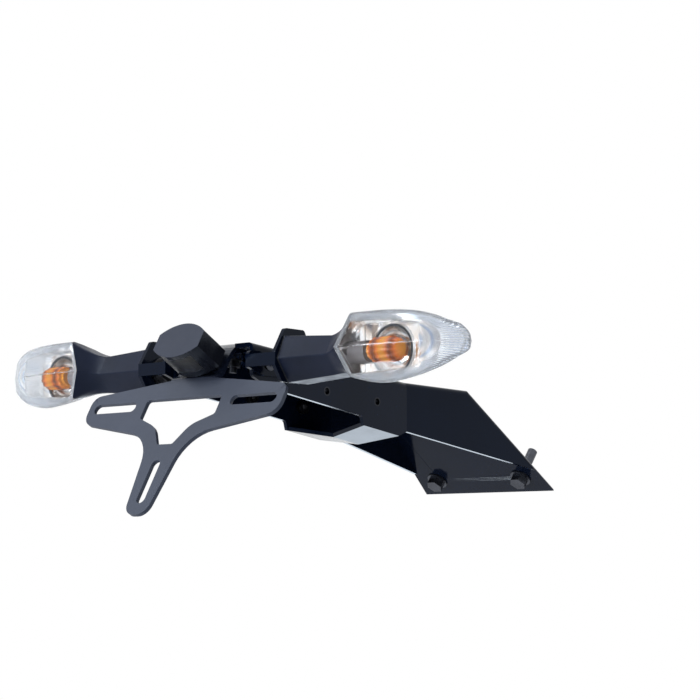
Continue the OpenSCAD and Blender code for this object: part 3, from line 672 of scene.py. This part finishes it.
def reach(outline, centre, angle):
    """Distance from a centre to the outline round it, in the direction of an angle."""
    dy, dz = math.cos(angle), math.sin(angle)
    best = 0.0
    for p, q in zip(outline, outline[1:] + outline[:1]):
        ay, az = p[0] - centre[0], p[1] - centre[1]
        ey, ez = q[0] - centre[0] - ay, q[1] - centre[1] - az
        det = dz * ey - dy * ez
        if abs(det) < 1e-12:
            continue
        r = (az * ey - ay * ez) / det
        w = (dy * az - dz * ay) / det
        if r > 0 and -1e-6 <= w <= 1 + 1e-6:
            best = max(best, r)
    return best


def stalk_arm():
    """Hexagonal arm from its root to its waist, which then flares in a cove to the lens's folded seam."""
    root_x, root_at, root_half = 0.0695 - SEAM.x, STALK_AT, (0.0190, 0.0162)
    waist_x, waist_at, waist_half = 0.1120 - SEAM.x, (0.0025, -0.0030), (0.0170, 0.0135)
    root, waist = hexagon(*root_half, root_at), hexagon(*waist_half, waist_at)
    mouth, mouth_at = [(y, z) for _, y, z in lens_ring(0.0, 0.0)], (0.0, 0.0)
    even, steps, cove_power = 60, 14, 1.9
    angles = {round(-math.pi + 2 * math.pi * k / even, 5) for k in range(even)}
    for outline, at in ((root, root_at), (waist, waist_at), (mouth, mouth_at)):
        angles |= {round(math.atan2(z - at[1], y - at[0]), 5) for y, z in outline}
    angles = sorted(angles)
    n = len(angles)
    verts = []
    for a in angles:
        r = reach(root, root_at, a)
        verts.append((root_x, root_at[0] + r * math.cos(a), root_at[1] + r * math.sin(a)))
    for k in range(steps + 1):
        w = k / steps
        cove = w ** cove_power
        for a in angles:
            mouth_r = reach(mouth, mouth_at, a)
            r = reach(waist, waist_at, a) * (1 - cove) + mouth_r * cove
            y, z = waist_at[0] * (1 - w) + r * math.cos(a), waist_at[1] * (1 - w) + r * math.sin(a)
            seam_x = abs(mouth_r * math.sin(a)) * LEAN
            verts.append((waist_x + w * (seam_x - waist_x), y, z))
    faces = grid_faces(steps + 2, n, True)
    last = (steps + 1) * n
    root_mid, mouth_mid = len(verts), len(verts) + 1
    verts += [(root_x, *root_at), (0.0, *mouth_at)]
    for j in range(n):
        k = (j + 1) % n
        faces.append((root_mid, k, j))
        faces.append((mouth_mid, last + j, last + k))
    return verts, faces


def stalk_stud():
    """Threaded stud of the stalk: a chamfered start, ridges, and a plain end inside the arm."""
    start, thread, thread_end, end = (x - SEAM.x for x in (0.0510, 0.0515, 0.0690, 0.0712))
    nose, first, crest, root, half_pitch = 0.0040, 0.0046, 0.0050, 0.0045, 0.00062
    profile = [(start, nose), (thread, first)]
    for k in range(1, math.ceil((thread_end - thread) / half_pitch) + 1):
        profile.append((thread + half_pitch * k, crest if k % 2 else root))
    profile.append((end, crest))
    verts, faces = turned(profile, 36)
    return shifted(verts, (0.0, *STALK_AT)), faces


def stalk_body(side, name):
    """The stalk's moulding: its arm with the stud on it."""
    verts, faces = stalk_arm()
    stud_verts, stud_faces = stalk_stud()
    faces += moved_faces(stud_faces, len(verts))
    verts += stud_verts
    piece(f"{name}_stalk_moulding", verts, faces, side, "stalk_plastic", 22, f"{name}_stalk")


def bowl_seal(side, name):
    """Dark ring round the reflector's bowl."""
    gap, wire, depth_y = 0.0004, 0.0010, -0.0046
    verts, faces = ring(BOWL_R + gap, wire)
    verts = shifted(verts, (BOWL_X, depth_y, BULB[2]))
    piece(f"{name}_bowl_seal", verts, faces, side, "dark_ring", 60)


def lamp_glass(side, name):
    """Amber bulb: a narrower cap, a shoulder, a fluted barrel and a domed end."""
    cap_x, cap_r, shoulder_x = 0.0190, 0.0064, 0.0222
    glass_r, dome_x, dome_l = 0.0088, 0.0380, 0.0085
    edge, small, rise, cap_l = 0.0004, 0.0002, 0.00006, 0.0025
    profile = [(cap_x, cap_r - edge), (cap_x + small, cap_r), (cap_x + cap_l, cap_r)]
    profile.append((shoulder_x, glass_r - edge))
    profile += [(shoulder_x + edge + small * k, glass_r - small + rise * k) for k in range(3)]
    profile.append((dome_x, glass_r))
    for degrees in range(10, 90, 10):
        a = math.radians(degrees)
        profile.append((dome_x + dome_l * math.sin(a), glass_r * math.cos(a)))
    verts, faces = turned(profile, 96, flutes=12, depth=0.09)
    verts = shifted(verts, BULB)
    piece(f"{name}_lamp_glass", verts, faces, side, "amber_glass", 25, f"{name}_bulb")


for side, name in ((1, "right"), (-1, "left")):
    stalk_body(side, name)
    lens_shell(side, name)
    reflector(side, name)
    bowl_seal(side, name)
    lamp_glass(side, name)


# Camera
def camera():
    """The photograph's view, fitted to the plate, the channel's folds and both lenses."""
    from_plate = Vector((1.022, -1.022, -0.116))
    azimuth, pitch = math.radians(40.3), math.radians(6.1)
    focal_px, photo_px, sensor = 2050, 700, 36.0
    data = bpy.data.cameras.new("camera")
    obj = bpy.data.objects.new("camera", data)
    scene.collection.objects.link(obj)
    obj.location = PLATE + from_plate
    level = math.cos(pitch)
    ahead = Vector((-math.sin(azimuth) * level, math.cos(azimuth) * level, math.sin(pitch)))
    obj.rotation_mode = "QUATERNION"
    obj.rotation_quaternion = ahead.to_track_quat("-Z", "Y")
    data.sensor_width = sensor
    data.lens = focal_px * sensor / photo_px
    data.clip_start, data.clip_end = 0.01, 100
    scene.camera = obj


# Light and floor
def sky():
    """A white studio where it is seen directly, in a mirror or through glass; dimmer as a source of light."""
    world = bpy.data.worlds.new("studio")
    scene.world = world
    world.use_nodes = True
    nt = world.node_tree
    nt.nodes.clear()
    path = nt.nodes.new("ShaderNodeLightPath")
    seen = math_node(nt, "MAXIMUM", path.outputs["Is Camera Ray"], path.outputs["Is Glossy Ray"])
    seen = math_node(nt, "MAXIMUM", seen, path.outputs["Is Transmission Ray"])
    blend = nt.nodes.new("ShaderNodeMixShader")
    nt.links.new(seen, blend.inputs[0])
    for i, (colour, strength) in enumerate((((0.93, 0.95, 1.0, 1), 0.45), ((1, 1, 1, 1), 1.0))):
        background = nt.nodes.new("ShaderNodeBackground")
        background.inputs["Color"].default_value = colour
        background.inputs["Strength"].default_value = strength
        nt.links.new(background.outputs[0], blend.inputs[i + 1])
    surface = nt.nodes.new("ShaderNodeOutputWorld")
    nt.links.new(blend.outputs[0], surface.inputs["Surface"])


def lamp(name, at, size, power, colour=(1, 1, 1)):
    """A round lamp that points at the part, with its size in metres and its power in watts."""
    target = Vector((0.0, -0.25, 0.03))
    data = bpy.data.lights.new(name, "AREA")
    data.shape = "DISK"
    data.size = size
    data.energy = power
    data.color = colour
    obj = bpy.data.objects.new(name, data)
    scene.collection.objects.link(obj)
    obj.location = at
    obj.rotation_mode = "QUATERNION"
    obj.rotation_quaternion = (target - Vector(at)).to_track_quat("-Z", "Y")


def studio_floor():
    """A pale round floor well below the part."""
    radius, sides, middle_y, level = 2.2, 96, -0.2, -0.46
    work = bmesh.new()
    rim = []
    for i in range(sides):
        a = 2 * math.pi * i / sides
        rim.append(work.verts.new((radius * math.cos(a), radius * math.sin(a) + middle_y, 0)))
    work.faces.new(rim)
    data = bpy.data.meshes.new("floor")
    work.to_mesh(data)
    work.free()
    floor = bpy.data.objects.new("floor", data)
    floor.location = (0, 0, level)
    scene.collection.objects.link(floor)
    mat, nt, bsdf = tree("floor")
    tones = [(0.3, (0.80, 0.80, 0.80)), (0.7, (0.83, 0.83, 0.83))]
    nt.links.new(ramp(nt, noise(nt, coords(nt), 3.0), tones), bsdf.inputs["Base Color"])
    bsdf.inputs["Roughness"].default_value = 0.8
    data.materials.append(mat)


camera()
sky()
lamp("key", (-0.9, -1.9, 1.4), 1.1, 30, (1.0, 0.99, 0.97))
lamp("fill", (1.9, -0.6, 0.7), 1.4, 6, (0.90, 0.95, 1.0))
lamp("top", (-0.3, 0.3, 1.8), 1.2, 16)
lamp("low", (-0.5, -1.5, -0.36), 0.7, 12, (0.84, 0.92, 1.0))
lamp("bounce", (-0.55, 0.51, -0.39), 0.6, 2.0, (0.76, 0.88, 1.0))
studio_floor()

# Finish
bpy.context.view_layer.update()
